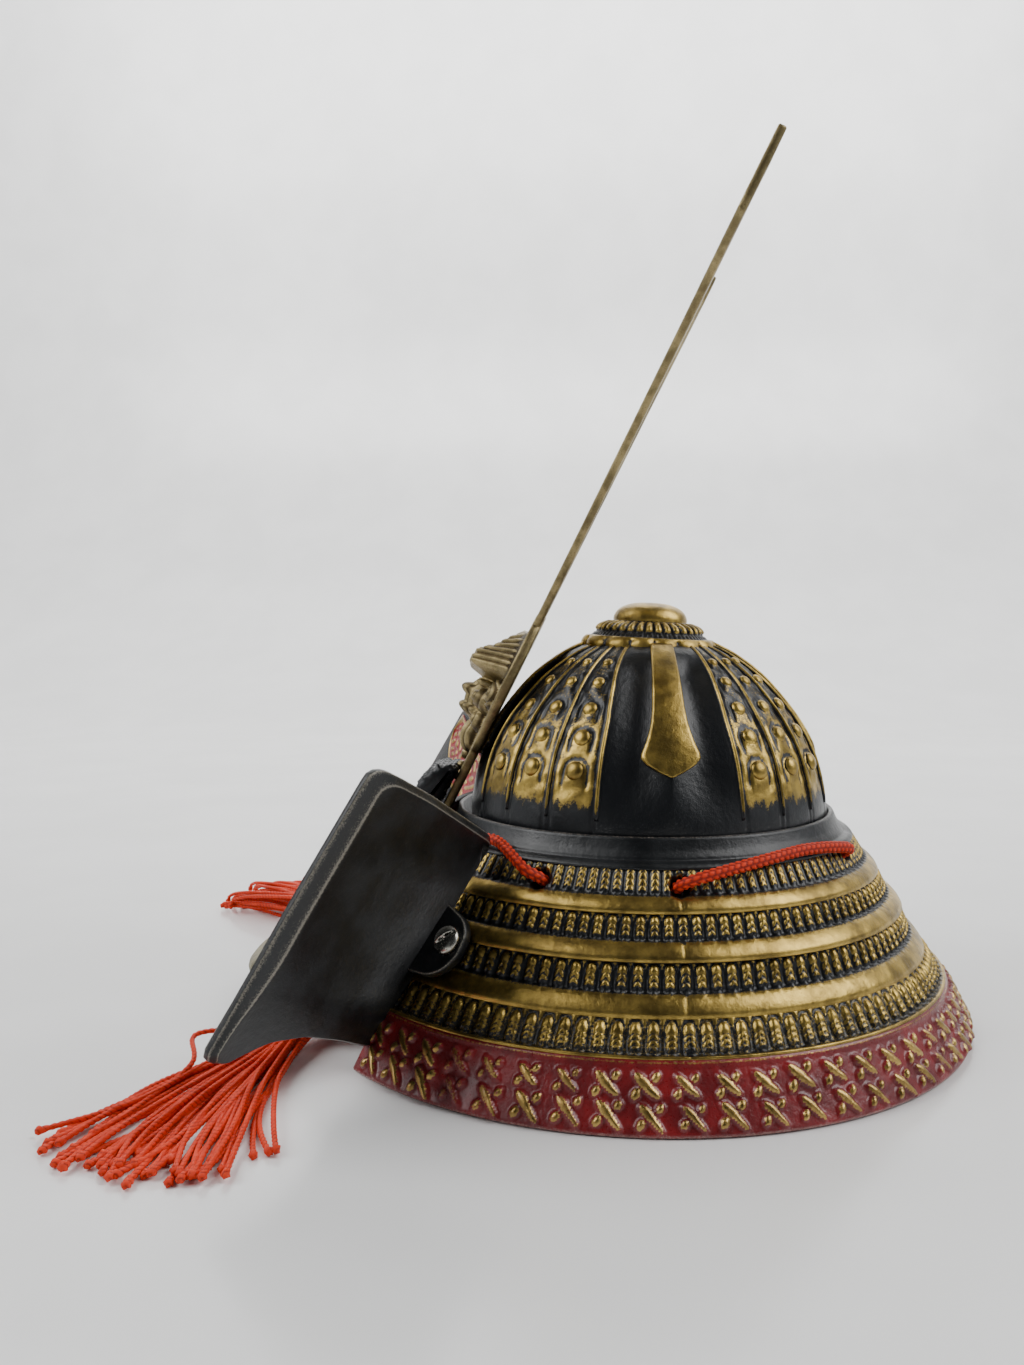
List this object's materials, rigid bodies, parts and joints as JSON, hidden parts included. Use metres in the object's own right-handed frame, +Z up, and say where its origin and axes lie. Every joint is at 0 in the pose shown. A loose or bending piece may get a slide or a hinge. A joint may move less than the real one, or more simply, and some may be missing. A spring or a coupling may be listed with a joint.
{
  "type": "samurai helmet",
  "caption": "Small cast display helmet with a ribbed bowl, a flared laced neck guard, a brass horned crest, side wings and an orange cord with tassels.",
  "frame": {"origin": "on the rest plane, under the middle of the box around everything but the cord and its tassels", "axes": "+Z up, -Y towards the front of the helmet, +X towards the wearer's left; the rim of the neck guard stands on Z = 0"},
  "size_m": [0.1993, 0.2016, 0.1844],
  "materials": {
    "black_lacquer": "semi-gloss black paint on cast metal, worn on its edges",
    "antique_gilt": "dark antique gilt rubbed bright on the raised parts",
    "aged_brass": "aged satin brass casting",
    "nickel": "dull nickel plate",
    "orange_braid": "braided and twisted artificial silk"
  },
  "bodies": {
    "root": {"bowl": "black_lacquer", "crown_fitting": "antique_gilt", "neck_guard": "antique_gilt", "visor": "black_lacquer", "crest": "aged_brass", "wing_left": "black_lacquer", "wing_right": "black_lacquer", "wing_screw_left": "nickel", "wing_screw_right": "nickel", "cord": "orange_braid", "tassel_left": "orange_braid", "tassel_right": "orange_braid"}
  },
  "joints": []
}
